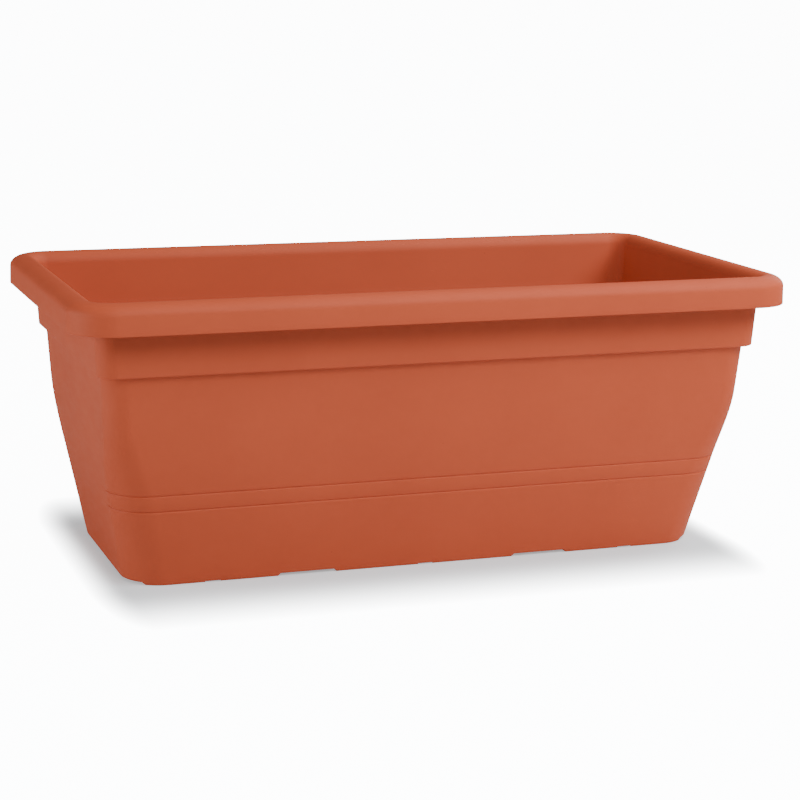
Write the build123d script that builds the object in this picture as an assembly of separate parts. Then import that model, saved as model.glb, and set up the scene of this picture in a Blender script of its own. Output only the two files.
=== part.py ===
from build123d import *
import math
import os

# A rectangular moulded planter: one shell standing on moulded feet, with six loose drain plugs.
# Millimetres, +Z up, +X along the length. The origin is the centre of the footprint, on the ground.

# Overall size
length = 800.0  # over the rim
width = 430.0  # over the rim
height = 315.0  # ground to the crown of the rim
wall = 3.0  # moulded wall of the whole shell

# Rolled rim, whose outer flange hangs clear of the wall
rim_drop = 32.0  # crown down to the lip
rim_face = 20.0  # nearly upright outer face above the lip
rim_lean = 0.4  # how far that face leans in over its height
rim_crown = 18.0  # outer face to the crown
rim_roll = 14.0  # crown down to where the roll meets the inner wall
rim_corner = 47.0  # corner radius in plan
lip_bevel = 0.8

# Collar band below the rim
rim_overhang = 27.0  # rim's outer face to the band at its top
band_lean = 4.0  # how much further in the band is at its foot
band_drop = 48.0  # lip down to the band's foot
band_step = 6.0  # step from the band in to the wall
band_bevel = 1.5  # along the band's foot

# Wall: straight, bowed between two heights, then straight to the base
bow_top = 182.0
bow_foot = 104.0
upper_lean = 0.055  # run per rise above the bow
lower_lean = 0.19  # run per rise below the bow
long_wall_lean = 0.07  # extra run per rise of the two long walls
wall_corner = 27.0  # corner radius above the bow
base_corner = 43.0  # corner radius below the bow
bow_strips = 6  # straight strips that the bow is divided into
base_bevel = 1.2

# Two scored lines along the long walls and round the corners
score_pitch = 18.0  # between the lines, the upper one at the foot of the bow
score_width = 1.8
score_depth = 1.1
score_run_on = 1.0  # how far the lines run on to the flat end walls

# Feet: shallow pads along both long edges, with sloped ends and a small notch in the middle of each
foot_height = 3.0
foot_depth = 26.0  # from the wall's foot inwards
middle_foot = 204.0  # length of the middle pad
end_foot = 144.0  # length of the pads near the corners
foot_gap = 66.0
foot_notch = 18.0
foot_notch_height = 1.0

# Floor: a gutter round a raised panel that holds the drain holes
gutter = 34.0  # from the wall's foot to the panel's edge, on the underside
panel_lift = 7.0  # underside of the panel above the base plane
panel_draft = 3.0  # run of the panel's sloped edge
panel_corner = 24.0
floor_round = 6.0  # turn from the gutter's floor up into the wall
floor_strips = 3

# Drain holes, two rows of three, with stiffening ribs between them on the underside
hole_columns = 3
hole_rows = 2
hole_pitch_x = 200.0
hole_pitch_y = 110.0
hole_bore = 20.6
boss_wall = 3.0
boss_depth = 3.0
rib_thickness = 2.0
rib_depth = 5.0
gate_width = 16.0  # round pad at the moulding gate, with a shallow dish
gate_dish = 1.0

# Drain plug
plug_clearance = 0.4  # stem to bore, all round
flange_overlap = 6.0  # flange beyond the bore, all round
flange_thickness = 2.0
stem_below = 1.5  # stem beyond the end of the boss
leg_gap = 6.0  # between the four legs that the stem is split into
grip_length = 18.0
grip_height = 9.0
grip_thickness = 3.2
grip_round = 5.0

row_names = ["front", "back"]
column_names = ["left", "middle", "right"]

# Heights and insets that follow from the sizes above
lip_z = height - rim_drop
roll_z = height - rim_roll
band_z = lip_z - band_drop
floor_z = foot_height + wall
panel_under_z = foot_height + panel_lift
panel_top_z = panel_under_z + wall
boss_z = panel_under_z - boss_depth
wall_inset = rim_overhang + band_lean + band_step
foot_pitch = (middle_foot + end_foot) / 2 + foot_gap


def band_offset(z):
    """How far the band stands in from the rim's outer face at height z."""
    return rim_overhang + band_lean * (roll_z - z) / (roll_z - band_z)


def wall_offset(z):
    """How far the end walls stand in from the rim's outer face at height z."""
    straight = max(band_z - max(z, bow_top), 0.0)
    bowed = min(max(bow_top - z, 0.0), bow_top - bow_foot)
    below = max(bow_foot - z, 0.0)
    growth = (lower_lean - upper_lean) / (2 * (bow_top - bow_foot))
    return wall_inset + upper_lean * (straight + bowed) + growth * bowed**2 + lower_lean * below


def side_offset(z):
    """The same for the long walls, which lean a little more."""
    return wall_offset(z) + long_wall_lean * max(band_z - z, 0.0)


def corner_at(z):
    """Corner radius of the wall in plan at height z, easing from one size to the other over the bow."""
    share = min(max((bow_top - z) / (bow_top - bow_foot), 0.0), 1.0)
    return wall_corner + (base_corner - wall_corner) * share**2 * (3 - 2 * share)


def plan(end_inset, side_inset, corner, z):
    """Rounded rectangle, set in from the rim's outline, at height z."""
    outline = RectangleRounded(length - 2 * end_inset, width - 2 * side_inset, corner)
    return Pos(0, 0, z) * outline


def wall_plan(z, skin=0.0):
    """Outline of the wall at height z, less a skin thickness."""
    return plan(wall_offset(z) + skin, side_offset(z) + skin, corner_at(z) - skin, z)


def band_plan(z, skin=0.0):
    """Outline of the collar band at height z, less a skin thickness."""
    inset = band_offset(z) + skin
    return plan(inset, inset, rim_corner - rim_overhang - skin, z)


def panel_plan(z, rise, skin=0.0):
    """Outline of the raised panel at height z, which is a given rise up its sloped edge."""
    inset = gutter + panel_draft * rise / panel_lift - skin
    return plan(wall_offset(0) + inset, side_offset(0) + inset, panel_corner + skin, z)


def turned_edge(z, radius, strips=1):
    """Heights and extra insets of an edge turned up from a flat face: a bevel, or a round in strips."""
    turns = [math.radians(90 * step / strips) for step in range(strips + 1)]
    return [(z + radius * (1 - math.cos(turn)), radius * (1 - math.sin(turn))) for turn in turns]


def wall_solid(edge, high, skin=0.0):
    """Solid wall shape from its turned lower edge up to a height, bowed in between."""
    bow_height = bow_top - bow_foot
    bow = [bow_foot + bow_height * step / bow_strips for step in range(bow_strips + 1)]
    sections = [wall_plan(z, skin + inset) for z, inset in edge]
    sections += [wall_plan(z, skin) for z in bow + [high]]
    return loft(sections, ruled=True)


def ring_plane(path):
    """Sketch plane at the start of a path: x points inwards, y is the height above the ground."""
    start, along = path @ 0, path % 0
    origin = Vector(start.X, start.Y, 0)
    return Plane(origin=origin, x_dir=Vector(0, 0, 1).cross(along), z_dir=along)


def quarter_ellipse(centre, run, rise, start):
    """A quarter of an ellipse, from a start angle in degrees."""
    return EllipticalCenterArc(centre, run, rise, start_angle=start, arc_size=90)


def rim_profile():
    """Cross-section of the rolled rim: x is the inset from its outer face, y the height."""
    shoulder_z = lip_z + rim_face
    shoulder = (rim_crown, shoulder_z)
    roll = (rim_crown, roll_z)
    outer_run = rim_crown - rim_lean
    outer_rise = rim_drop - rim_face
    inner_run = rim_overhang + wall - rim_crown
    edges = [
        Line((0, lip_z), (rim_lean, shoulder_z)),
        quarter_ellipse(shoulder, outer_run, outer_rise, 90),
        quarter_ellipse(roll, inner_run, rim_roll, 0),
        Line((rim_overhang + wall, roll_z), (rim_overhang, roll_z)),
        quarter_ellipse(roll, inner_run - wall, rim_roll - wall, 0),
        quarter_ellipse(shoulder, outer_run - wall, outer_rise - wall, 90),
        Line((rim_lean + wall, shoulder_z), (wall, lip_z)),
        Line((wall, lip_z), (0, lip_z)),
    ]
    face = make_face(edges)
    lip = face.vertices().sort_by(Axis.Y)[:2]
    return chamfer(lip, lip_bevel)


def rim():
    """Rolled rim, open underneath, swept round the outline."""
    path = plan(0, 0, rim_corner, 0).wire()
    return sweep(ring_plane(path) * rim_profile(), path=path)


def band_solid():
    """Collar band as a full solid with its foot bevelled."""
    sections = [band_plan(z, inset) for z, inset in turned_edge(band_z, band_bevel)]
    return loft(sections + [band_plan(roll_z)], ruled=True)


def base_solid():
    """Wall as a full solid down to the ground, with an edge where the feet begin."""
    return wall_solid(turned_edge(0, base_bevel) + [(foot_height, 0)], band_z)


def cavity():
    """Space inside the shell: the wall's, with a rounded gutter, and the band's above the step."""
    step_z = band_z + wall
    inner = wall_solid(turned_edge(floor_z, floor_round, floor_strips), step_z, wall)
    collar = loft([band_plan(step_z, wall), band_plan(roll_z, wall)], ruled=True)
    return inner + collar


def panel_island():
    """What the raised floor panel takes out of the cavity."""
    sections = [panel_plan(floor_z, 0, wall), panel_plan(panel_top_z, panel_lift, wall)]
    return loft(sections, ruled=True)


def panel_recess():
    """Space under the raised floor panel."""
    sections = [panel_plan(foot_height, 0), panel_plan(panel_under_z, panel_lift)]
    return loft(sections, ruled=True)


def foot_bar(centre, span):
    """One pad's outline along X, with sloped ends and its notch, run right across the width."""
    notch, top = foot_notch / 2, foot_notch / 2 - foot_notch_height
    half, reach = span / 2, span / 2 + foot_height
    points = [(-reach, foot_height), (-half, 0), (-notch, 0), (-top, foot_notch_height)]
    points += [(-x, z) for x, z in reversed(points)]
    outline = Plane.XZ * make_face(Polyline(points, close=True))
    return Pos(centre, 0, 0) * extrude(outline, width / 2, both=True)


def foot_places():
    """Centre and length of each pad along one long edge."""
    return [(-foot_pitch, end_foot), (0, middle_foot), (foot_pitch, end_foot)]


def foot_cut():
    """What is taken away below the base plane, leaving the pads standing."""
    low = Align.MIN
    slab = Box(length, width, foot_height, align=(Align.CENTER, Align.CENTER, low))
    middle = width - 2 * (side_offset(0) + foot_depth)
    between = Box(length, middle, foot_height, align=(Align.CENTER, Align.CENTER, low))
    bars = [foot_bar(centre, span) for centre, span in foot_places()]
    return slab - (Part() + bars - between)


def foot_pockets():
    """Shallow pockets in the gutter that keep the pads as thin as the rest of the shell."""
    margin = wall + floor_round
    depth = foot_depth - margin - wall
    y = width / 2 - side_offset(0) - margin - depth / 2
    pockets = []
    for centre, span in foot_places():
        half_span = span / 2 - foot_notch / 2 - 2 * wall
        shift = foot_notch / 4 + span / 4
        for x in (centre - shift, centre + shift):
            for side in (-y, y):
                pocket = Box(half_span, depth, foot_height)
                pockets.append(Pos(x, side, wall + foot_height / 2) * pocket)
    return pockets


def hole_places():
    """Row, column and centre of each drain hole."""
    places = []
    for row in range(hole_rows):
        for column in range(hole_columns):
            x = (column - (hole_columns - 1) / 2) * hole_pitch_x
            y = (row - (hole_rows - 1) / 2) * hole_pitch_y
            places.append((row, column, x, y))
    return places


def under_ribs():
    """Ribs, bosses and the gate pad on the panel's underside."""
    top = (Align.CENTER, Align.CENTER, Align.MAX)
    at = Pos(0, 0, panel_under_z)
    pieces = [at * Box(length, rib_thickness, rib_depth, align=top)]
    for step in range(-hole_columns, hole_columns):
        x = (step + 0.5) * hole_pitch_x / 2
        pieces.append(at * Pos(x, 0, 0) * Box(rib_thickness, width, rib_depth, align=top))
    for _, _, x, y in hole_places():
        boss = Cylinder(hole_bore / 2 + boss_wall, boss_depth, align=top)
        pieces.append(at * Pos(x, y, 0) * boss)
    pieces.append(at * Cylinder(gate_width / 2, rib_depth, align=top))
    return (Part() + pieces) & panel_recess()


def scored_line(z):
    """V-shaped groove round the wall at height z, left out across the two end walls."""
    path = wall_plan(z).wire()
    half = score_width / 2
    points = [(-half, z - score_width), (-half, z + score_width), (score_depth, z)]
    groove = sweep(ring_plane(path) * make_face(Polyline(points, close=True)), path=path)
    flat_end = width - 2 * (side_offset(z) + corner_at(z) + score_run_on)
    return groove - Pos(0, 0, z) * Box(length, flat_end, 4 * score_width)


def tub():
    """The whole shell as one moulding."""
    block = base_solid() + band_solid()
    hollow = cavity() - panel_island()
    shell = block - hollow - panel_recess() + under_ribs()
    shell = shell - foot_cut() - foot_pockets()
    shell = shell - scored_line(bow_foot) - scored_line(bow_foot - score_pitch)
    drill = Cylinder(hole_bore / 2, 2 * (wall + boss_depth))
    for _, _, x, y in hole_places():
        shell = shell - Pos(x, y, panel_under_z) * drill
    dish_z = panel_under_z - rib_depth - gate_width / 2 + gate_dish
    shell = shell - Pos(0, 0, dish_z) * Sphere(gate_width / 2)
    return shell + rim()


def drain_plug():
    """One plug on the panel: a flange, a stem split into four legs, and a rounded grip above."""
    foot_z = boss_z - stem_below
    above = (Align.CENTER, Align.CENTER, Align.MIN)
    flange = Cylinder(hole_bore / 2 + flange_overlap, flange_thickness, align=above)
    stem = Cylinder(hole_bore / 2 - plug_clearance, panel_top_z - foot_z, align=above)
    gap = Box(hole_bore, leg_gap, panel_top_z - foot_z, align=above)
    legs = stem - gap - Rot(0, 0, 90) * gap
    grip = Box(grip_length, grip_thickness, grip_height, align=above)
    top_corners = grip.edges().filter_by(Axis.Y).sort_by(Axis.Z)[-2:]
    grip = fillet(top_corners, grip_round)
    grip_z = panel_top_z + flange_thickness
    return Pos(0, 0, foot_z) * legs + Pos(0, 0, panel_top_z) * flange + Pos(0, 0, grip_z) * grip


def main():
    os.makedirs("parts", exist_ok=True)
    export_step(tub(), "parts/tub.step")
    plug = drain_plug()
    for row, column, x, y in hole_places():
        name = f"drain_plug_{row_names[row]}_{column_names[column]}"
        export_step(Pos(x, y, 0) * plug, f"parts/{name}.step")


main()
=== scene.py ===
import math

import bmesh
import bpy
from mathutils import Matrix, Vector
from mathutils.geometry import delaunay_2d_cdt


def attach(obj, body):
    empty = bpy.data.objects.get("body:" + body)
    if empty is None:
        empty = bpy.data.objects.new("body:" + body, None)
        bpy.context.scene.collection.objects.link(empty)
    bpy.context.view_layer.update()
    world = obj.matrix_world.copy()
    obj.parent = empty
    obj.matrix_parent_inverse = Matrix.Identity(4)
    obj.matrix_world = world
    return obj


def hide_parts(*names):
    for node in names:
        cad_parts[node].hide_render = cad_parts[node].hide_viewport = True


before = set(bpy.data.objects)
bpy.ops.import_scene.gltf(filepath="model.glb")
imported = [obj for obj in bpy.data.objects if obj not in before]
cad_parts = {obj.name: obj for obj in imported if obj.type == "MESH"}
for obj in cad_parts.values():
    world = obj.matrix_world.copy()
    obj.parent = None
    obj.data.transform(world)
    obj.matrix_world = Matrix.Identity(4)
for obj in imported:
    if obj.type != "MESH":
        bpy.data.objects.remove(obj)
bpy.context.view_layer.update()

# Millimetres in metres: sizes below are in millimetres, and meshes in metres
MM = 0.001

# Overall size, as in the CAD model
length = 800.0
width = 430.0
height = 315.0
wall = 3.0

# Rolled rim
rim_drop = 32.0
rim_face = 20.0
rim_lean = 0.4
rim_crown = 18.0
rim_roll = 14.0
rim_corner = 47.0
lip_round = 0.8

# Collar band below the rim
rim_overhang = 27.0
band_lean = 4.0
band_drop = 48.0
band_step = 6.0
band_round = 1.5
step_fillet = 1.2

# Bowed wall
bow_top = 182.0
bow_foot = 104.0
upper_lean = 0.055
lower_lean = 0.19
long_wall_lean = 0.07
wall_corner = 27.0
base_corner = 43.0
base_round = 1.2

# Scored lines
score_pitch = 18.0
score_depth = 1.1
score_reach = 1.5  # half height of the groove with its soft lips
score_run_on = 1.0
score_fade = 2.0
score_margin = 1.2  # how far the next ring up keeps off the groove, in reaches

# Feet
foot_height = 3.0
foot_depth = 26.0
middle_foot = 204.0
end_foot = 144.0
foot_gap = 66.0
foot_notch = 18.0
foot_notch_height = 1.0

# Floor
gutter = 34.0
panel_lift = 7.0
panel_draft = 3.0
panel_corner = 24.0
floor_round = 6.0
edge_round = 1.0

# Drain holes, ribs and gate
hole_columns = 3
hole_rows = 2
hole_pitch_x = 200.0
hole_pitch_y = 110.0
hole_bore = 20.6
hole_round = 0.5
boss_wall = 3.0
boss_depth = 3.0
rib_thickness = 2.0
rib_depth = 5.0
gate_width = 16.0
gate_dish = 1.0

# Drain plug
plug_clearance = 0.4
flange_overlap = 6.0
flange_thickness = 2.0
flange_round = 0.7
stem_below = 1.5
leg_gap = 6.0
grip_length = 18.0
grip_height = 9.0
grip_thickness = 3.2
grip_round = 5.0
grip_edge_round = 0.6

# Steps that round forms are divided into
corner_steps = 20
edge_steps = 4
roll_steps = 14
bow_steps = 18
circle_steps = 64
leg_steps = 12
grip_steps = 8
grip_edge_steps = 3

# Steps along straight stretches: the wall below and above its bow, the collar and rim, the end walls
low_steps = 4
high_steps = 2
collar_steps = 3
side_steps = 4

# Edges that fold by more degrees than this are sharp
crease_angle = 40.0

# Slack in millimetres for points that meet and for heights that agree
weld = 1e-5
tiny = 1e-6

# Camera: the view direction, the roll, where the planter's origin lies from it in millimetres, its
# focal length as a share of the picture's width, and how near and far it sees in metres
CAMERA_YAW = 19.36
CAMERA_PITCH = 11.64
CAMERA_ROLL = 0.73
CAMERA_TO_ORIGIN = (-14.7, -154.9, 2505.0)
CAMERA_FOCAL = 2.711
CAMERA_CLIP = (0.05, 60.0)
SENSOR_WIDTH = 36.0

# Plastics: the lighter and the darker pigment, and the roughness
SHELL_LIGHT = (0.50, 0.088, 0.038)
SHELL_DARK = (0.46, 0.079, 0.034)
SHELL_ROUGHNESS = 0.62
PLUG_LIGHT = (0.42, 0.072, 0.032)
PLUG_DARK = (0.38, 0.064, 0.028)
PLUG_ROUGHNESS = 0.55
GLOSS_SPREAD = 0.03
PLASTIC_IOR = 1.3
SCUFF_LIGHTER = 1.5
SPECK_DARKER = 0.6

# Ground: its half size in metres, its tone near the planter, how far the painted shadow reaches along each
# axis in metres, the least painted glow that the camera sees there, and the tone that lights the planter
FLOOR_REACH = 14.0
FLOOR_SHADE = (0.58, 0.66, 0.74)
SHADOW_REACH = (0.045, 0.15, 1.0)
SHADOW_SHOWN = 0.45
FLOOR_BOUNCE = (0.75, 0.75, 0.75)
GLOW_COLOUR = (0.97, 0.99, 1.0)

# Backdrop: the white that the camera sees, and the faint light that the planter gets from it
BACKDROP_COLOUR = (0.98, 0.99, 1.0)
BACKDROP_SHOWN = 13.0
STUDIO_LIGHT = 0.08

# Soft lights: each one's place in metres and power in watts, then what all have in common
LIGHTS = {
    "front": ((0.0, -1.9, 1.63), 22.0),
    "front_right": ((1.34, -1.34, 1.63), 49.0),
    "right": ((1.2, 0.0, 2.23), 27.0),
    "left": ((-2.38, 0.1, 0.55), 33.0),
    "behind": ((2.0, 1.1, 0.9), 14.0),
}
LIGHT_AIM = (0.0, 0.0, 0.15)
LIGHT_SIZE = (1.3, 1.0)
LIGHT_COLOUR = (1.0, 0.97, 0.9)

lip_z = height - rim_drop
roll_z = height - rim_roll
face_z = lip_z + rim_face
band_z = lip_z - band_drop
floor_z = foot_height + wall
panel_under_z = foot_height + panel_lift
panel_top_z = panel_under_z + wall
boss_z = panel_under_z - boss_depth
wall_inset = rim_overhang + band_lean + band_step
lip_lean = rim_lean * lip_round / rim_face
foot_pitch = (middle_foot + end_foot) / 2 + foot_gap


def blend(low, high, share):
    return low + (high - low) * share


def shares(steps):
    """Even shares from 0 to 1."""
    return [step / steps for step in range(steps + 1)]


def turns(steps, start=0.0, end=90.0):
    """Even angles in radians from a start to an end in degrees."""
    return [math.radians(blend(start, end, share)) for share in shares(steps)]


# Plan of the planter: a ring is (end inset, side inset, corner radius, height)
def band_ring(z, skin=0.0):
    inset = rim_overhang + band_lean * (roll_z - z) / (roll_z - band_z) + skin
    return inset, inset, rim_corner - rim_overhang - skin, z


def wall_offset(z):
    straight = max(band_z - max(z, bow_top), 0.0)
    bowed = min(max(bow_top - z, 0.0), bow_top - bow_foot)
    below = max(bow_foot - z, 0.0)
    growth = (lower_lean - upper_lean) / (2 * (bow_top - bow_foot))
    return wall_inset + upper_lean * (straight + bowed) + growth * bowed**2 + lower_lean * below


def side_offset(z):
    return wall_offset(z) + long_wall_lean * max(band_z - z, 0.0)


def corner_at(z):
    share = min(max((bow_top - z) / (bow_top - bow_foot), 0.0), 1.0)
    return blend(wall_corner, base_corner, share**2 * (3 - 2 * share))


def wall_ring(z, skin=0.0):
    return wall_offset(z) + skin, side_offset(z) + skin, corner_at(z) - skin, z


def rim_ring(inset, z):
    return inset, inset, rim_corner - inset, z


def panel_ring(z, rise, skin=0.0):
    """Edge of the raised floor panel at height z, which is a given rise up its sloped edge."""
    inset = gutter + panel_draft * rise / panel_lift - skin
    return wall_offset(0) + inset, side_offset(0) + inset, panel_corner + skin, z


# Stations round a ring: a share of the straight part each way, then a direction on the corner's arc
def foot_places():
    return [(-foot_pitch, end_foot), (0.0, middle_foot), (foot_pitch, end_foot)]


def foot_breaks(centre, span):
    """Where the underside of a pad changes direction, along X."""
    half, notch = span / 2, foot_notch / 2
    reach = [half + foot_height, half, notch, notch - foot_notch_height]
    return [centre - x for x in reach] + [centre + x for x in reversed(reach)]


def foot_lift(x):
    """Height of the underside above the ground at x under the long walls."""
    for centre, span in foot_places():
        out = abs(x - centre) - span / 2
        if out < foot_height:
            notch = min(max(foot_notch / 2 - abs(x - centre), 0.0), foot_notch_height)
            return max(out, notch, 0.0)
    return foot_height


base_core_x = length / 2 - wall_offset(0) - base_corner
base_core_y = width / 2 - side_offset(0) - base_corner


def stations():
    """All stations anticlockwise, seen from above, as (share x, share y, arc x, arc y)."""
    breaks = sorted({x for place in foot_places() for x in foot_breaks(*place)})
    straight = [x / base_core_x for x in breaks if abs(x) < base_core_x]
    past = [math.asin((x - base_core_x) / base_corner) for x in breaks if x > base_core_x]
    arc = sorted(turns(corner_steps) + past)
    line_end = [1 - score_run_on / base_core_y, 1 - (score_run_on + score_fade) / base_core_y]
    between = [y / side_steps for y in range(1 - side_steps, side_steps)]
    side = sorted([-y for y in line_end] + between + line_end)
    found = [(x, -1.0, 0.0, -1.0) for x in straight]
    found += [(1.0, -1.0, math.sin(t), -math.cos(t)) for t in arc]
    found += [(1.0, y, 1.0, 0.0) for y in side]
    found += [(1.0, 1.0, math.cos(t), math.sin(t)) for t in reversed([math.pi / 2 - t for t in arc])]
    found += [(x, 1.0, 0.0, 1.0) for x in reversed(straight)]
    found += [(-1.0, 1.0, -math.sin(t), math.cos(t)) for t in arc]
    found += [(-1.0, y, -1.0, 0.0) for y in reversed(side)]
    found += [(-1.0, -1.0, -math.cos(t), -math.sin(t)) for t in reversed([math.pi / 2 - t for t in arc])]
    return found


def place(station, ring):
    """Point of a ring at a station, in metres."""
    share_x, share_y, arc_x, arc_y = station
    end_inset, side_inset, corner, z = ring
    x = share_x * (length / 2 - end_inset - corner) + arc_x * corner
    y = share_y * (width / 2 - side_inset - corner) + arc_y * corner
    return Vector((x, y, z)) * MM


def base_x(station):
    """Where a station lies along X on the wall's foot."""
    return station[0] * base_core_x + station[2] * base_corner


def scored(station):
    """Whether the scored lines run past a station: everywhere but on the flat end walls."""
    past_corner = (1 - abs(station[1])) * base_core_y
    return 1.0 if past_corner < score_run_on + score_fade / 2 or abs(station[3]) == 1.0 else 0.0


class Shell:
    """A mesh grown ring by ring."""

    def __init__(self):
        self.mesh = bmesh.new()
        self.stations = stations()

    def ring(self, ring_at):
        """Adds a ring, given as a ring or as a function of the station."""
        at = ring_at if callable(ring_at) else lambda station: ring_at
        return [self.mesh.verts.new(place(station, at(station))) for station in self.stations]

    def bridge(self, low, high):
        """Joins two rings with quads."""
        count = len(low)
        for i in range(count):
            j = (i + 1) % count
            self.mesh.faces.new((low[i], low[j], high[j], high[i]))

    def stack(self, rings, start=None):
        """Adds rings one after another, joined to the one before, and gives the first and the last."""
        first = last = start
        for ring_at in rings:
            verts = self.ring(ring_at)
            if last:
                self.bridge(last, verts)
            first = first or verts
            last = verts
        return first, last

    def fill(self, loops):
        """Fills the flat region between an outer loop and those inside it."""
        verts = [vert for loop in loops for vert in loop]
        edges, start = [], 0
        for loop in loops:
            count = len(loop)
            edges += [(start + i, start + (i + 1) % count) for i in range(count)]
            start += count
        flat = [vert.co.xy / MM for vert in verts]
        found, _, faces, sources, _, _ = delaunay_2d_cdt(flat, edges, [], 0, weld)
        for face in faces:
            centre = sum((found[i] for i in face), Vector((0.0, 0.0))) / len(face)
            if inside(centre, flat, edges):
                self.mesh.faces.new([verts[sources[i][0]] for i in face])


def inside(point, corners, edges):
    """Whether a point lies inside the loops that the edges make, holes left out."""
    crossings = 0
    for a, b in edges:
        (ax, ay), (bx, by) = corners[a], corners[b]
        if (ay > point.y) != (by > point.y):
            crossings += point.x < ax + (bx - ax) * (point.y - ay) / (by - ay)
    return crossings % 2 == 1


# Rings of the outside, from the ground up to the lip
def base_edge():
    """Rounded lower edge, which follows the pads up and down."""
    def ring_at(turn):
        def at(station):
            z = foot_lift(base_x(station)) if abs(station[1]) == 1.0 else foot_height
            z += base_round * (1 - math.cos(turn))
            return wall_ring(z, base_round * (1 - math.sin(turn)))
        return at
    return [ring_at(turn) for turn in turns(edge_steps)]


def groove(z):
    """A scored line at height z, with soft lips."""
    profile = [(-1.0, 0.0), (-0.7, 0.1), (-0.35, 0.5), (0.0, 1.0), (0.35, 0.5), (0.7, 0.1), (1.0, 0.0)]
    def ring_at(rise, depth):
        return lambda station: wall_ring(z + rise * score_reach, depth * score_depth * scored(station))
    return [ring_at(rise, depth) for rise, depth in profile]


def outer_wall():
    low, high = 2 * foot_height, bow_foot - score_pitch - 2 * score_reach
    rings = [wall_ring(blend(low, high, s)) for s in shares(low_steps)]
    rings += groove(bow_foot - score_pitch)
    rings += groove(bow_foot)
    bow = [wall_ring(blend(bow_foot, bow_top, s)) for s in shares(bow_steps)]
    rings += [ring for ring in bow if ring[3] > bow_foot + score_margin * score_reach]
    rings += [wall_ring(blend(bow_top, band_z - step_fillet, s)) for s in shares(high_steps)[1:]]
    return rings


def band_outside():
    """Step out under the band, its rounded foot and its face."""
    rings = []
    for turn in turns(edge_steps)[1:]:
        z = band_z - step_fillet * (1 - math.sin(turn))
        rings.append(wall_ring(band_z, -step_fillet * (1 - math.cos(turn)))[:3] + (z,))
    for turn in turns(edge_steps):
        z = band_z + band_round * (1 - math.cos(turn))
        rings.append(band_ring(z, band_round * (1 - math.sin(turn))))
    return rings + [band_ring(blend(band_z + band_round, roll_z, s)) for s in shares(collar_steps)[1:]]


def ellipse(centre, run, rise, angles):
    """Rings of the rim on part of an ellipse: angle 0 points to the inside of the planter."""
    x, z = centre
    return [rim_ring(x + run * math.cos(t), z + rise * math.sin(t)) for t in angles]


def rim_underside():
    inner_run = rim_overhang - rim_crown
    outer_run = rim_crown - rim_lean - wall
    rings = ellipse((rim_crown, roll_z), inner_run, rim_roll - wall, turns(roll_steps)[1:])
    fall = rim_drop - rim_face - wall
    return rings + ellipse((rim_crown, face_z), outer_run, fall, turns(roll_steps, 90, 180)[1:])


def lip():
    """Rounded lower end of the rim's flange, from its inside to its outside."""
    rings = []
    for centre, start, end in ((wall - lip_round, 0, -90), (lip_round + lip_lean, -90, -180)):
        for turn in turns(edge_steps, start, end):
            z = lip_z + lip_round * (1 + math.sin(turn))
            rings.append(rim_ring(centre + lip_round * math.cos(turn), z))
    return rings


def rim_outside():
    outer_run = rim_crown - rim_lean
    inner_run = rim_overhang + wall - rim_crown
    foot = lip_z + lip_round
    face = shares(collar_steps)[1:]
    rings = [rim_ring(blend(lip_lean, rim_lean, s), blend(foot, face_z, s)) for s in face]
    rings += ellipse((rim_crown, face_z), outer_run, rim_drop - rim_face, turns(roll_steps, 180, 90)[1:])
    return rings + ellipse((rim_crown, roll_z), inner_run, rim_roll, turns(roll_steps, 90, 0)[1:])


# Rings of the inside, from the rim down to the floor
def collar_inside():
    """Inside of the collar and the ledge where it narrows to the wall."""
    ledge_z = band_z + wall
    rings = [band_ring(blend(roll_z, ledge_z + edge_round, s), wall) for s in shares(collar_steps)[1:]]
    for turn in turns(edge_steps)[1:]:
        z = ledge_z + edge_round * (1 - math.sin(turn))
        rings.append(band_ring(ledge_z, wall + edge_round * (1 - math.cos(turn)))[:3] + (z,))
    for turn in turns(edge_steps):
        z = ledge_z - edge_round * (1 - math.cos(turn))
        rings.append(wall_ring(band_z, wall - edge_round * (1 - math.sin(turn)))[:3] + (z,))
    return rings


def inner_wall():
    rings = [wall_ring(blend(band_z, bow_top, s), wall) for s in shares(high_steps)]
    rings += [wall_ring(blend(bow_top, bow_foot, s), wall) for s in shares(bow_steps)[1:]]
    rings += [wall_ring(blend(bow_foot, floor_z + floor_round, s), wall) for s in shares(low_steps)[1:]]
    for turn in reversed(turns(2 * edge_steps)[:-1]):
        z = floor_z + floor_round * (1 - math.cos(turn))
        rings.append(wall_ring(z, wall + floor_round * (1 - math.sin(turn))))
    return rings


def panel_edge():
    """From the gutter's floor up the sloped edge of the raised panel."""
    rings = []
    for turn in turns(edge_steps):
        z = floor_z + edge_round * (1 - math.cos(turn))
        rings.append(panel_ring(z, 0, wall + edge_round * (1 - math.sin(turn))))
    for turn in turns(edge_steps):
        z = panel_top_z - edge_round * (1 - math.sin(turn))
        rings.append(panel_ring(z, panel_lift, wall - edge_round * (1 - math.cos(turn))))
    return rings


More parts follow.
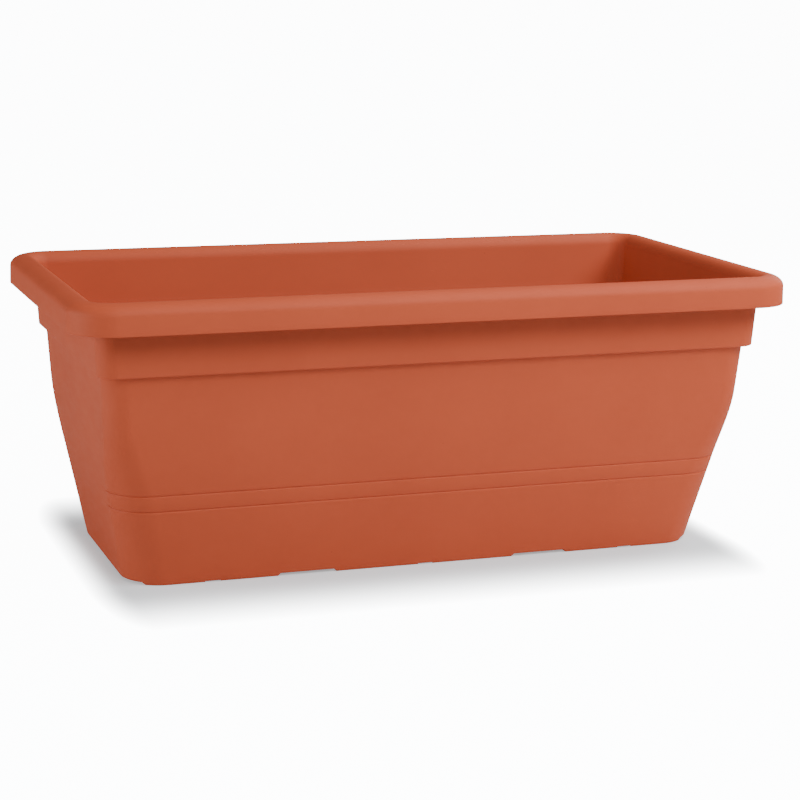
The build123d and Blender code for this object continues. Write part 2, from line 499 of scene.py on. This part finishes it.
def pad_faces(shell, edge):
    """Undersides of the feet, and the flat underside's outer boundary at the level between them."""
    boundary = []
    count = len(edge)
    lifts = [foot_lift(base_x(s)) if abs(s[1]) == 1.0 else foot_height for s in shell.stations]
    in_pad = [lift < foot_height - tiny for lift in lifts]
    inner_y = (width / 2 - side_offset(0) - foot_depth) * MM
    low, top = {}, {}
    for i in range(count):
        if in_pad[i] or in_pad[i - 1] or in_pad[(i + 1) % count]:
            y = math.copysign(inner_y, shell.stations[i][1])
            top[i] = shell.mesh.verts.new((edge[i].co.x, y, foot_height * MM))
            low[i] = shell.mesh.verts.new((edge[i].co.x, y, lifts[i] * MM)) if in_pad[i] else top[i]
    for i in range(count):
        j = (i + 1) % count
        if in_pad[i] or in_pad[j]:
            shell.mesh.faces.new((edge[i], edge[j], low[j], low[i]))
            corners = [low[i], low[j], top[j], top[i]]
            shell.mesh.faces.new(list(dict.fromkeys(corners)))
        if in_pad[i]:
            boundary.append(top[i])
        elif i in top and in_pad[j]:
            boundary += [edge[i], top[i]]
        elif i in top:
            boundary += [top[i], edge[i]]
        else:
            boundary.append(edge[i])
    return boundary


def underside(shell, edge):
    """Feet, the flat underside between them, and the recess under the raised panel."""
    boundary = pad_faces(shell, edge)
    rings = [panel_ring(foot_height, 0), panel_ring(panel_under_z, panel_lift)]
    rim, top = shell.stack(rings)
    shell.fill([boundary, rim])
    shell.fill([top])


def tub_body():
    """The whole moulding but for its drain holes, ribs and pockets."""
    shell = Shell()
    rings = base_edge() + outer_wall() + band_outside() + rim_underside() + lip() + rim_outside()
    rings += collar_inside() + inner_wall() + panel_edge()
    edge, panel = shell.stack(rings)
    shell.fill([panel])
    underside(shell, edge)
    return shell.mesh


def finish_mesh(mesh, name):
    """Turns a mesh in the making into an object, smooth but for its creases."""
    bmesh.ops.recalc_face_normals(mesh, faces=mesh.faces)
    data = bpy.data.meshes.new(name)
    mesh.to_mesh(data)
    mesh.free()
    piece = bpy.data.objects.new(name, data)
    bpy.context.scene.collection.objects.link(piece)
    shade(data)
    return piece


def shade(data):
    data.shade_smooth()
    data.set_sharp_from_angle(angle=math.radians(crease_angle))


def combine(piece, other, operation):
    """Adds or cuts one closed mesh with another, which is then removed."""
    modifier = piece.modifiers.new(operation.lower(), "BOOLEAN")
    modifier.operation = operation
    modifier.solver = "EXACT"
    modifier.object = other
    depsgraph = bpy.context.evaluated_depsgraph_get()
    made = bpy.data.meshes.new_from_object(piece.evaluated_get(depsgraph))
    piece.modifiers.clear()
    piece.data = made
    bpy.data.objects.remove(other)
    shade(made)


def add_box(mesh, low, high):
    """A box between two corners in millimetres."""
    low, high = Vector(low) * MM, Vector(high) * MM
    corners = bmesh.ops.create_cube(mesh, size=1.0)["verts"]
    for vert in corners:
        vert.co = Vector(a if c < 0 else b for a, b, c in zip(low, high, vert.co))


def add_turned(mesh, profile, centre):
    """A closed turned form: (radius, height) points in millimetres, first and last on the axis."""
    rings = []
    for radius, z in profile[1:-1]:
        angles = [2 * math.pi * step / circle_steps for step in range(circle_steps)]
        at = [(centre[0] + radius * math.cos(t), centre[1] + radius * math.sin(t), z) for t in angles]
        rings.append([mesh.verts.new(Vector(point) * MM) for point in at])
    for low, high in zip(rings, rings[1:]):
        for i in range(circle_steps):
            j = (i + 1) % circle_steps
            mesh.faces.new((low[i], low[j], high[j], high[i]))
    mesh.faces.new(list(reversed(rings[0])))
    mesh.faces.new(rings[-1])


def hole_places():
    """Row, column and centre of each drain hole."""
    found = []
    for row in range(hole_rows):
        for column in range(hole_columns):
            x = (column - (hole_columns - 1) / 2) * hole_pitch_x
            y = (row - (hole_rows - 1) / 2) * hole_pitch_y
            found.append((row, column, x, y))
    return found


def under_ribs():
    """Ribs, bosses and the dished gate pad, a little way into the panel and its sloped edge."""
    half_x = length / 2 - wall_offset(0) - gutter
    half_y = width / 2 - side_offset(0) - gutter
    half, low, high = rib_thickness / 2, panel_under_z - rib_depth, panel_under_z + wall / 2
    mesh = bmesh.new()
    add_box(mesh, (-half_x, -half, low), (half_x, half, high))
    ribs = finish_mesh(mesh, "ribs")
    mesh = bmesh.new()
    for step in range(-hole_columns, hole_columns):
        x = (step + 0.5) * hole_pitch_x / 2
        add_box(mesh, (x - half, -half_y, low), (x + half, half_y, high))
    for _, _, x, y in hole_places():
        radius = hole_bore / 2 + boss_wall
        add_turned(mesh, [(0, boss_z), (radius, boss_z), (radius, high), (0, high)], (x, y))
    combine(ribs, finish_mesh(mesh, "cross_ribs"), "UNION")
    mesh = bmesh.new()
    radius = gate_width / 2
    add_turned(mesh, [(0, low), (radius, low), (radius, high), (0, high)], (0, 0))
    combine(ribs, finish_mesh(mesh, "gate"), "UNION")
    combine(ribs, gate_dish_cutter(), "DIFFERENCE")
    return ribs


def drills():
    """What the drain holes and the feet's pockets take away."""
    mesh = bmesh.new()
    bore = hole_bore / 2
    for _, _, x, y in hole_places():
        profile = [(0, 0), (bore, 0), (bore, panel_top_z - hole_round)]
        for turn in turns(edge_steps)[1:]:
            step = hole_round * (1 - math.cos(turn))
            profile.append((bore + step, panel_top_z - hole_round * (1 - math.sin(turn))))
        profile += [(bore + hole_round, panel_top_z + wall), (0, panel_top_z + wall)]
        add_turned(mesh, profile, (x, y))
    margin = wall + floor_round
    depth = foot_depth - margin - wall
    outer_y = width / 2 - side_offset(0) - margin
    for centre, span in foot_places():
        half_span = span / 2 - foot_notch / 2 - 2 * wall
        shift = foot_notch / 4 + span / 4
        for x in (centre - shift, centre + shift):
            for side in (-1, 1):
                ys = sorted((side * outer_y, side * (outer_y - depth)))
                add_box(mesh, (x - half_span / 2, ys[0], wall), (x + half_span / 2, ys[1], floor_z + wall))
    return finish_mesh(mesh, "drills")


def gate_dish_cutter():
    """Ball that leaves a shallow dish in the gate pad."""
    mesh = bmesh.new()
    radius = gate_width / 2
    centre = (panel_under_z - rib_depth - radius + gate_dish) * MM
    bmesh.ops.create_uvsphere(mesh, u_segments=circle_steps, v_segments=circle_steps // 2, radius=radius * MM)
    bmesh.ops.translate(mesh, verts=mesh.verts, vec=(0, 0, centre))
    return finish_mesh(mesh, "dish")


def make_tub():
    tub = finish_mesh(tub_body(), "tub_shell")
    combine(tub, under_ribs(), "UNION")
    combine(tub, drills(), "DIFFERENCE")
    return tub


# Drain plugs
def plug_flange(mesh):
    radius = hole_bore / 2 + flange_overlap
    low, high = panel_top_z, panel_top_z + flange_thickness
    profile = [(0, low), (radius - flange_round / 2, low), (radius, low + flange_round / 2)]
    for turn in turns(edge_steps):
        step_in, step_down = flange_round * (1 - math.cos(turn)), flange_round * (1 - math.sin(turn))
        profile.append((radius - step_in, high - step_down))
    add_turned(mesh, profile + [(0, high)], (0, 0))


def plug_legs(mesh):
    """Four legs that the stem is split into, each a quarter of a disc between two straight sides."""
    radius, half = hole_bore / 2 - plug_clearance, leg_gap / 2
    foot_z, top_z = boss_z - stem_below, panel_top_z + flange_thickness / 2
    start = math.asin(half / radius)
    angles = [blend(start, math.pi / 2 - start, s) for s in shares(leg_steps)]
    outline = [(radius * math.cos(t), radius * math.sin(t)) for t in angles] + [(half, half)]
    for quarter in range(4):
        turn = Matrix.Rotation(quarter * math.pi / 2, 2)
        flat = [turn @ Vector(point) for point in outline]
        rings = [[mesh.verts.new(Vector((x, y, z)) * MM) for x, y in flat] for z in (foot_z, top_z)]
        for i in range(len(flat)):
            j = (i + 1) % len(flat)
            mesh.faces.new((rings[0][i], rings[0][j], rings[1][j], rings[1][i]))
        mesh.faces.new(list(reversed(rings[0])))
        mesh.faces.new(rings[1])


def plug_grip():
    """Tab with rounded upper corners and softened edges."""
    mesh = bmesh.new()
    half = grip_length / 2
    low = panel_top_z + flange_thickness / 2
    high = panel_top_z + flange_thickness + grip_height
    outline = [(-half, low), (half, low)]
    centre_x, centre_z = half - grip_round, high - grip_round
    angles = turns(grip_steps)
    arc = [(centre_x + grip_round * math.cos(t), centre_z + grip_round * math.sin(t)) for t in angles]
    outline += arc + [(-x, z) for x, z in reversed(arc)]
    side = grip_thickness / 2
    rings = [[mesh.verts.new(Vector((x, y, z)) * MM) for x, z in outline] for y in (-side, side)]
    for i in range(len(outline)):
        j = (i + 1) % len(outline)
        mesh.faces.new((rings[0][i], rings[0][j], rings[1][j], rings[1][i]))
    faces = [mesh.faces.new(rings[0]), mesh.faces.new(list(reversed(rings[1])))]
    edges = [edge for face in faces for edge in face.edges]
    bmesh.ops.bevel(
        mesh, geom=edges, offset=grip_edge_round * MM, segments=grip_edge_steps, profile=0.5, affect="EDGES"
    )
    return finish_mesh(mesh, "grip")


def make_plugs():
    """Six plugs with one mesh."""
    mesh = bmesh.new()
    plug_flange(mesh)
    first = finish_mesh(mesh, "plug")
    mesh = bmesh.new()
    plug_legs(mesh)
    combine(first, finish_mesh(mesh, "legs"), "UNION")
    combine(first, plug_grip(), "UNION")
    plugs = []
    for row, column, x, y in hole_places():
        node = f"drain_plug_{('front', 'back')[row]}_{('left', 'middle', 'right')[column]}"
        data = first.data.copy()
        data.transform(Matrix.Translation(Vector((x, y, 0)) * MM))
        piece = bpy.data.objects.new(f"{node}_fine", data)
        bpy.context.scene.collection.objects.link(piece)
        plugs.append((node, piece))
    bpy.data.objects.remove(first)
    return plugs


# Materials
def new_material(name):
    material = bpy.data.materials.new(name)
    material.use_nodes = True
    nodes = material.node_tree.nodes
    shader = nodes["Principled BSDF"]
    return material, nodes, material.node_tree.links, shader


def noise(nodes, links, coordinates, scale, detail=3.0, roughness=0.5, stretch=None):
    """Noise in the object's own coordinates, in metres."""
    node = nodes.new("ShaderNodeTexNoise")
    node.inputs["Scale"].default_value = scale
    node.inputs["Detail"].default_value = detail
    node.inputs["Roughness"].default_value = roughness
    source = coordinates
    if stretch:
        mapping = nodes.new("ShaderNodeMapping")
        mapping.inputs["Scale"].default_value = stretch
        links.new(coordinates, mapping.inputs["Vector"])
        source = mapping.outputs["Vector"]
    links.new(source, node.inputs["Vector"])
    return node.outputs["Fac"]


def ramp(nodes, links, value, stops):
    node = nodes.new("ShaderNodeValToRGB")
    elements = node.color_ramp.elements
    while len(elements) < len(stops):
        elements.new(0.5)
    for element, (position, colour) in zip(elements, stops):
        element.position = position
        element.color = (*colour, 1.0)
    links.new(value, node.inputs["Fac"])
    return node.outputs["Color"]


def mix_colour(nodes, links, share, low, high):
    """Colour between two others. Each is a colour or a node's output."""
    node = nodes.new("ShaderNodeMix")
    node.data_type = "RGBA"
    sockets = {(s.name, s.type): s for s in node.inputs}
    for name, colour in (("A", low), ("B", high)):
        if isinstance(colour, tuple):
            sockets[name, "RGBA"].default_value = (*colour, 1.0)
        else:
            links.new(colour, sockets[name, "RGBA"])
    links.new(share, sockets["Factor", "VALUE"])
    return next(s for s in node.outputs if s.type == "RGBA")


def spread(nodes, links, value, low=0.0, high=1.0, to_low=0.0, to_high=1.0):
    """A value's range stretched to another, with its ends cut off."""
    node = nodes.new("ShaderNodeMapRange")
    for name, number in (("From Min", low), ("From Max", high), ("To Min", to_low), ("To Max", to_high)):
        node.inputs[name].default_value = number
    links.new(value, node.inputs["Value"])
    return node.outputs["Result"]


def product(nodes, links, first, second):
    node = nodes.new("ShaderNodeMath")
    node.operation = "MULTIPLY"
    links.new(first, node.inputs[0])
    links.new(second, node.inputs[1])
    return node.outputs[0]


def bump(nodes, links, source, strength, distance):
    """Bump of a given strength, and height in metres."""
    node = nodes.new("ShaderNodeBump")
    node.inputs["Strength"].default_value = strength
    node.inputs["Distance"].default_value = distance
    links.new(source, node.inputs["Height"])
    return node


def specks(nodes, links, coordinates):
    """Sparse tiny specks of uneven pigment: 1 in a speck, 0 elsewhere."""
    cells_per_metre = 70.0
    cells = nodes.new("ShaderNodeTexVoronoi")
    cells.inputs["Scale"].default_value = cells_per_metre
    links.new(coordinates, cells.inputs["Vector"])
    near = spread(nodes, links, cells.outputs["Distance"], low=0.035, high=0.06, to_low=1.0, to_high=0.0)
    patches = noise(nodes, links, coordinates, scale=23.0, detail=0.0)
    few = spread(nodes, links, patches, low=0.62, high=0.66)
    return product(nodes, links, near, few)


def scuffs(nodes, links, coordinates):
    """Sparse thin scratches: 1 on a scratch, 0 elsewhere."""
    spacing, thickness = 0.05, 0.0035
    lines = noise(nodes, links, coordinates, scale=14.0, detail=2.0, stretch=(1.0, 1.0, 4.0))
    ridge = nodes.new("ShaderNodeMath")
    ridge.operation = "PINGPONG"
    ridge.inputs[1].default_value = spacing
    links.new(lines, ridge.inputs[0])
    thin = spread(nodes, links, ridge.outputs[0], high=thickness, to_low=1.0, to_high=0.0)
    patches = noise(nodes, links, coordinates, scale=6.0, detail=3.0)
    few = spread(nodes, links, patches, low=0.6, high=0.7)
    return product(nodes, links, thin, few)


def plastic(name, light, dark, roughness):
    """Moulded plastic: uneven pigment, fine orange peel, specks and faint scuffs."""
    material, nodes, links, shader = new_material(name)
    coordinates = nodes.new("ShaderNodeTexCoord").outputs["Object"]
    pale = tuple(channel * SCUFF_LIGHTER for channel in light)
    deep = tuple(channel * SPECK_DARKER for channel in dark)
    pigment = noise(nodes, links, coordinates, scale=5.0, detail=4.0, roughness=0.6)
    colour = ramp(nodes, links, pigment, [(0.3, dark), (0.7, light)])
    speck = spread(nodes, links, specks(nodes, links, coordinates), to_high=0.5)
    colour = mix_colour(nodes, links, speck, colour, deep)
    scuff = spread(nodes, links, scuffs(nodes, links, coordinates), to_high=0.16)
    links.new(mix_colour(nodes, links, scuff, colour, pale), shader.inputs["Base Color"])
    sheen = noise(nodes, links, coordinates, scale=28.0, detail=5.0, roughness=0.65, stretch=(1.0, 1.0, 3.0))
    low, high = roughness - GLOSS_SPREAD, roughness + GLOSS_SPREAD
    gloss = spread(nodes, links, sheen, low=0.3, high=0.7, to_low=low, to_high=high)
    links.new(gloss, shader.inputs["Roughness"])
    shader.inputs["IOR"].default_value = PLASTIC_IOR
    grain = noise(nodes, links, coordinates, scale=1100.0, detail=2.0)
    swell = noise(nodes, links, coordinates, scale=16.0, detail=1.0)
    peel = bump(nodes, links, grain, strength=0.10, distance=0.0003)
    waves = bump(nodes, links, swell, strength=0.03, distance=0.002)
    links.new(waves.outputs["Normal"], peel.inputs["Normal"])
    links.new(peel.outputs["Normal"], shader.inputs["Normal"])
    return material


def seen_directly(nodes, links, shown, other):
    """One shader where the camera sees the surface itself, and another for the light that it passes on."""
    path = nodes.new("ShaderNodeLightPath")
    node = nodes.new("ShaderNodeMixShader")
    links.new(path.outputs["Is Camera Ray"], node.inputs[0])
    links.new(other, node.inputs[1])
    links.new(shown, node.inputs[2])
    return node.outputs[0]


def vector_maths(nodes, links, operation, source, other=(0.0, 0.0, 0.0)):
    node = nodes.new("ShaderNodeVectorMath")
    node.operation = operation
    node.inputs[1].default_value = other
    links.new(source, node.inputs[0])
    return node.outputs["Value" if operation == "LENGTH" else "Vector"]


def shadow_reach(nodes, links):
    """How far a point of the ground is from the planter's foot: 0 at the foot, 1 where the painted shadow
    ends.
    """
    coordinates = nodes.new("ShaderNodeTexCoord").outputs["Object"]
    foot = ((length / 2 - wall_offset(0)) * MM, (width / 2 - side_offset(0)) * MM, 0.0)
    away = vector_maths(nodes, links, "ABSOLUTE", coordinates)
    away = vector_maths(nodes, links, "SUBTRACT", away, foot)
    away = vector_maths(nodes, links, "MAXIMUM", away)
    away = vector_maths(nodes, links, "DIVIDE", away, SHADOW_REACH)
    return vector_maths(nodes, links, "LENGTH", away)


def floor_material():
    """Bright studio ground: white but for the soft shadow close round the planter's foot, partly real and
    partly painted.
    """
    material = bpy.data.materials.new("pale_floor")
    material.use_nodes = True
    nodes, links = material.node_tree.nodes, material.node_tree.links
    nodes.clear()
    tones = []
    for tone in (FLOOR_SHADE, FLOOR_BOUNCE):
        diffuse = nodes.new("ShaderNodeBsdfDiffuse")
        diffuse.inputs["Color"].default_value = (*tone, 1.0)
        tones.append(diffuse.outputs[0])
    share = spread(nodes, links, shadow_reach(nodes, links))
    # Painted shadow: the camera sees the ground glow faintly at the planter's foot and full white past the
    # shadow's reach, added over the real shadow on the diffuse tone
    glow_with_painted_shadow = nodes.new("ShaderNodeEmission")
    cubed = product(nodes, links, product(nodes, links, share, share), share)
    strength = spread(nodes, links, cubed, to_low=SHADOW_SHOWN, to_high=BACKDROP_SHOWN)
    links.new(strength, glow_with_painted_shadow.inputs["Strength"])
    glow_with_painted_shadow.inputs["Color"].default_value = (*GLOW_COLOUR, 1.0)
    shown = nodes.new("ShaderNodeAddShader")
    links.new(tones[0], shown.inputs[0])
    links.new(glow_with_painted_shadow.outputs[0], shown.inputs[1])
    output = nodes.new("ShaderNodeOutputMaterial")
    links.new(seen_directly(nodes, links, shown.outputs[0], tones[1]), output.inputs["Surface"])
    return material


def dress(piece, material):
    piece.data.materials.clear()
    piece.data.materials.append(material)


# Stage, lights and camera
def make_stage():
    mesh = bmesh.new()
    bmesh.ops.create_grid(mesh, x_segments=1, y_segments=1, size=FLOOR_REACH)
    floor = finish_mesh(mesh, "floor")
    dress(floor, floor_material())


def area_light(name, spot, power):
    light = bpy.data.lights.new(name, "AREA")
    light.shape = "RECTANGLE"
    light.size, light.size_y = LIGHT_SIZE
    light.energy = power
    light.color = LIGHT_COLOUR
    lamp = bpy.data.objects.new(name, light)
    bpy.context.scene.collection.objects.link(lamp)
    lamp.location = spot
    lamp.rotation_euler = (Vector(LIGHT_AIM) - Vector(spot)).to_track_quat("-Z", "Y").to_euler()


def make_studio():
    """Soft lights round the planter, and a world that is white to the camera and faint to the planter."""
    for name, (spot, power) in LIGHTS.items():
        area_light(name, spot, power)
    world = bpy.data.worlds.new("studio")
    bpy.context.scene.world = world
    world.use_nodes = True
    nodes, links = world.node_tree.nodes, world.node_tree.links
    nodes.clear()
    tones = []
    for strength in (BACKDROP_SHOWN, STUDIO_LIGHT):
        background = nodes.new("ShaderNodeBackground")
        background.inputs["Color"].default_value = (*BACKDROP_COLOUR, 1.0)
        background.inputs["Strength"].default_value = strength
        tones.append(background.outputs[0])
    output = nodes.new("ShaderNodeOutputWorld")
    links.new(seen_directly(nodes, links, *tones), output.inputs["Surface"])


def make_camera():
    """Camera at the photograph's angle, from the fitted view direction and distance."""
    yaw, pitch, roll = (math.radians(angle) for angle in (CAMERA_YAW, CAMERA_PITCH, CAMERA_ROLL))
    forward = Vector((math.sin(yaw) * math.cos(pitch), math.cos(yaw) * math.cos(pitch), -math.sin(pitch)))
    level = Vector((math.cos(yaw), -math.sin(yaw), 0.0))
    upright = level.cross(forward)
    right = math.cos(roll) * level + math.sin(roll) * upright
    up = math.cos(roll) * upright - math.sin(roll) * level
    axes = Matrix((right, up, -forward)).transposed()
    across, above, ahead = (value * MM for value in CAMERA_TO_ORIGIN)
    data = bpy.data.cameras.new("camera")
    data.sensor_width = SENSOR_WIDTH
    data.lens = CAMERA_FOCAL * data.sensor_width
    data.clip_start, data.clip_end = CAMERA_CLIP
    camera = bpy.data.objects.new("camera", data)
    bpy.context.scene.collection.objects.link(camera)
    spot = -(right * across + up * above + forward * ahead)
    camera.matrix_world = Matrix.Translation(spot) @ axes.to_4x4()
    bpy.context.scene.camera = camera


def main():
    shell_plastic = plastic("terracotta_plastic", SHELL_LIGHT, SHELL_DARK, SHELL_ROUGHNESS)
    plug_plastic = plastic("plug_plastic", PLUG_LIGHT, PLUG_DARK, PLUG_ROUGHNESS)
    tub = make_tub()
    dress(tub, shell_plastic)
    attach(tub, "tub")
    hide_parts("tub")
    for node, piece in make_plugs():
        dress(piece, plug_plastic)
        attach(piece, node)
        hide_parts(node)
    make_stage()
    make_studio()
    make_camera()


main()
